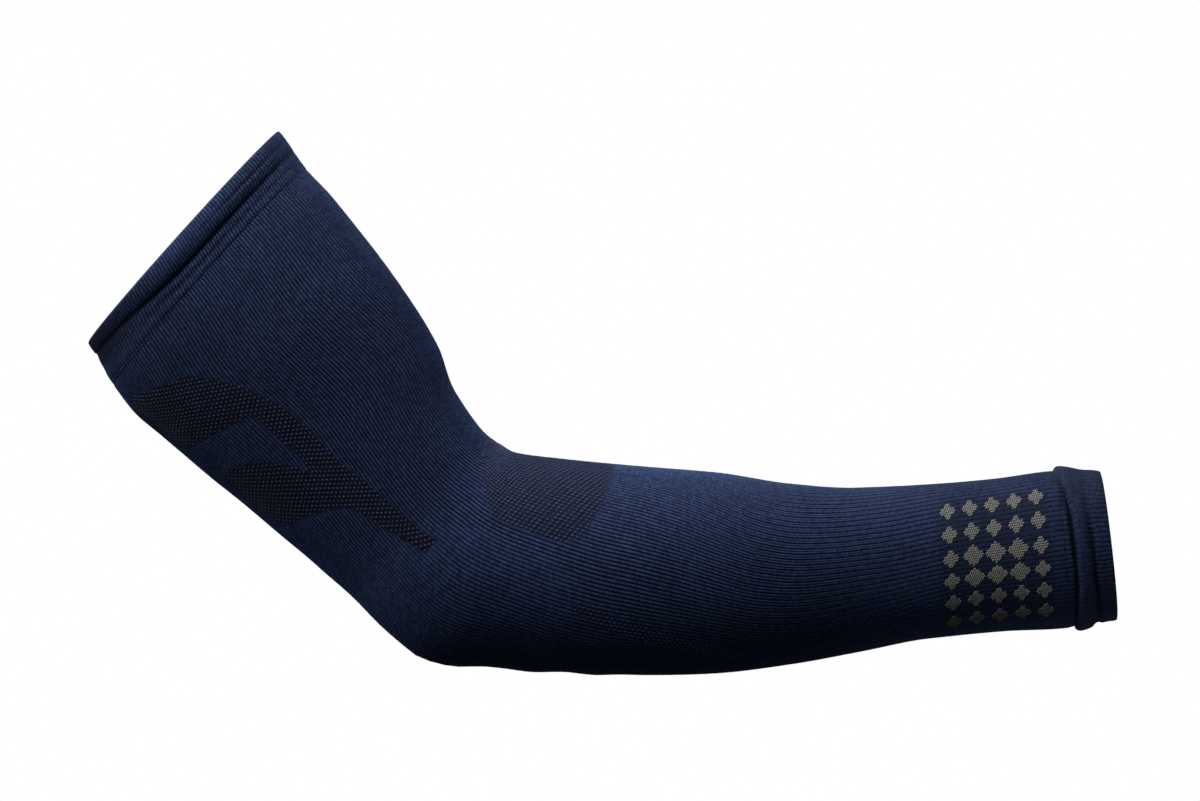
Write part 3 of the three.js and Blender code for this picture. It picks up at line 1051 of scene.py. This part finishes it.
def figurePlaces():
    # On the near side only.
    found = []
    middleRib = round(float(flowAt("offset", figure["middle"]))) + figure["middleRib"]
    for column, row in product(range(figure["columns"]), range(figure["rows"])):
        fromMiddle = np.array([column - (figure["columns"] - 1) / 2, row - (figure["rows"] - 1) / 2])
        edge = np.abs(fromMiddle / (figure["columns"] / 2, figure["rows"] / 2)).max()
        # Half a stitch over a whole number leaves no lone stitch at the tips.
        size = math.floor(figure["halfSize"] * (1 - figure["fade"] * edge)) + 0.5
        reach = math.ceil(size)
        for rib, halfCourse in product(range(-reach, reach + 1), range(-2 * reach, 2 * reach + 1)):
            if (halfCourse + rib) % 2 == 0 and abs(rib) + abs(halfCourse) / 2 <= size:
                courses = fromMiddle[0] * figure["pitch"] + halfCourse / 2
                along = figure["middle"] + courses * figureStitch["pitch"]
                found.append((along, middleRib + fromMiddle[1] * figure["pitch"] + rib + 0.5, 1))
    return np.array(found).T


print("building the knit")
tube = knitTube()
upperWelt = weltMesh("upper_welt", upperHem, upperHemRows, upperHemDips, -arm["upperArmLength"], 1)
wristWelt = weltMesh("wrist_welt", wristHem, wristHemRows, wristHemDips, arm["forearmLength"], -1)
print("triangles", [len(piece.data.polygons) for piece in (tube, upperWelt, wristWelt)])

ribbedKnit = knitMaterial("ribbed_nylon_knit", navyYarn, knit["brightness"])
weltKnit = knitMaterial("welt_nylon_knit", navyYarn, weltBrightness)
purlKnit = backMaterial()
ribs = ribTree()
for piece, face in ((tube, ribbedKnit), (upperWelt, weltKnit), (wristWelt, weltKnit)):
    runTree(piece, ribs, {
        "Rib height": knit["ribHeight"] * mm, "Face yarn": face, "Back yarn": purlKnit,
    })

print("setting the stitches")
stitches = stitchTree()


def stitchField(name, places, stitch, materialName, yarn):
    return runTree(stitchPoints(name, places, stitch), stitches, {
        "Length": stitch["length"] * mm, "Width": stitch["width"] * mm, "Height": stitch["height"] * mm,
        "Lean": math.radians(stitch["lean"]), "Yarn": stitchMaterial(materialName, yarn),
    })


openPlaces = np.concatenate([tuckPlaces(tuckWings), tuckPlaces(underWedge)], 1)
tucks = stitchField("tuck_stitches", openPlaces, tuckStitch, "tuck_stitch_yarn", tuckYarn)
elbowTucks = stitchField(
    "inside_elbow_stitches", tuckPlaces(insideElbow), elbowStitch, "inside_elbow_stitch_yarn", elbowYarn
)
yarnFigure = stitchField("yarn_figure", figurePlaces(), figureStitch, "grey_figure_yarn", greyYarn)
print("triangles", [len(piece.data.polygons) for piece in (tucks, elbowTucks, yarnFigure)])

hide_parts("sleeve_body")
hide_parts("upper_hem")
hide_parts("wrist_hem")
for piece, slotName in (
    (tube, "ribbed_knit"), (tucks, "ribbed_knit"), (elbowTucks, "ribbed_knit"), (yarnFigure, "ribbed_knit"),
    (upperWelt, "welt_knit"), (wristWelt, "welt_knit"),
):
    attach(piece, "root")

# The floor, the light and the camera.

studio = {
    "floorDrop": 0.66,
    "floorSize": 5.0,
    "floorColour": "#d9d9d6",
    "floorRoughness": 0.9,
    "floorGrain": 40.0,
    "floorDetail": 3.0,
    "floorRelief": 0.05,
    "floorGlow": 0.85,
    "backdrop": 1.0,
    "fill": 0.004,
    "glossFill": 0.17,
}
# The softbox is broad, over the sleeve, a little to the shoulder's side and to the front. The reflector is
# small, and throws a little light on the underside of the wrist.
lights = {
    "softbox": {
        "at": (0.057, 0, 0.054), "way": (-0.46, -0.13, 0.88), "distance": 1.05, "size": 2.2, "power": 22.0,
    },
    "reflector": {
        "at": (0.225, 0, 0), "way": (0.6, -0.4, -0.7), "distance": 0.12, "size": 0.1, "power": 0.0045,
    },
}
camera = {"lens": 300.0, "sensor": 36.0, "distance": 3.8, "x": 0.057, "z": 0.05377, "clipEnd": 100.0}


# Pale matt paper, whose faint grain keeps it from looking painted.
def floorMaterial():
    material, tree = newMaterial("pale_paper_floor")
    place = addNode(tree, "ShaderNodeTexCoord").outputs["Object"]
    grain = addNode(
        tree, "ShaderNodeTexNoise", {},
        {"Vector": place, "Scale": studio["floorGrain"], "Detail": studio["floorDetail"]},
    )
    bump = addNode(
        tree, "ShaderNodeBump", {}, {"Height": grain, "Strength": studio["floorRelief"], "Distance": mm}
    )
    colour = toLinear(studio["floorColour"])
    surface = addNode(tree, "ShaderNodeBsdfPrincipled", {}, {
        "Base Color": colour, "Roughness": studio["floorRoughness"], "Normal": bump,
        "Emission Color": colour, "Emission Strength": studio["floorGlow"],
    })
    addNode(tree, "ShaderNodeOutputMaterial", {}, {"Surface": surface})
    return material


def makeFloor():
    half, z = studio["floorSize"] / 2, -studio["floorDrop"]
    corners = [(-half, -half, z), (half, -half, z), (half, half, z), (-half, half, z)]
    mesh = bpy.data.meshes.new("floor")
    mesh.from_pydata(corners, [], [(0, 1, 2, 3)])
    mesh.materials.append(floorMaterial())
    floor = addObject("floor", mesh)
    # The floor glows so that it is pale from every side, and its light is kept off the dark underside.
    mesh.materials[0].cycles.emission_sampling = "NONE"
    floor.visible_diffuse = floor.visible_glossy = False


def makeLight(name):
    setting = lights[name]
    light = bpy.data.lights.new(name, "AREA")
    light.shape = "DISK"
    light.size = setting["size"]
    light.energy = setting["power"]
    lamp = addObject(name, light)
    way = Vector(setting["way"]).normalized()
    lamp.location = Vector(setting["at"]) + way * setting["distance"]
    lamp.rotation_euler = way.to_track_quat("Z", "Y").to_euler()
    lamp.visible_camera = False


def makeWorld():
    # White behind the sleeve, with only a faint light from around, and a little more for the sheen.
    world = bpy.data.worlds.new("white_studio")
    bpy.context.scene.world = world
    world.use_nodes = True
    tree = world.node_tree
    tree.nodes.clear()
    ray = addNode(tree, "ShaderNodeLightPath")
    fill, sheen, white = (
        addNode(tree, "ShaderNodeBackground", {}, {"Color": toLinear("#ffffff"), "Strength": studio[name]})
        for name in ("fill", "glossFill", "backdrop")
    )
    around = addNode(tree, "ShaderNodeMixShader", {}, {0: ray.outputs["Is Glossy Ray"], 1: fill, 2: sheen})
    mixed = addNode(tree, "ShaderNodeMixShader", {}, {0: ray.outputs["Is Camera Ray"], 1: around, 2: white})
    addNode(tree, "ShaderNodeOutputWorld", {}, {"Surface": mixed})


def makeCamera():
    data = bpy.data.cameras.new("camera")
    data.lens = camera["lens"]
    data.sensor_width = camera["sensor"]
    data.clip_end = camera["clipEnd"]
    seer = addObject("camera", data)
    seer.location = (camera["x"], -camera["distance"], camera["z"])
    seer.rotation_euler = (math.radians(90), 0, 0)
    bpy.context.scene.camera = seer


print("lighting the studio")
makeFloor()
for lightName in lights:
    makeLight(lightName)
makeWorld()
makeCamera()
bpy.context.scene.view_settings.view_transform = "Standard"
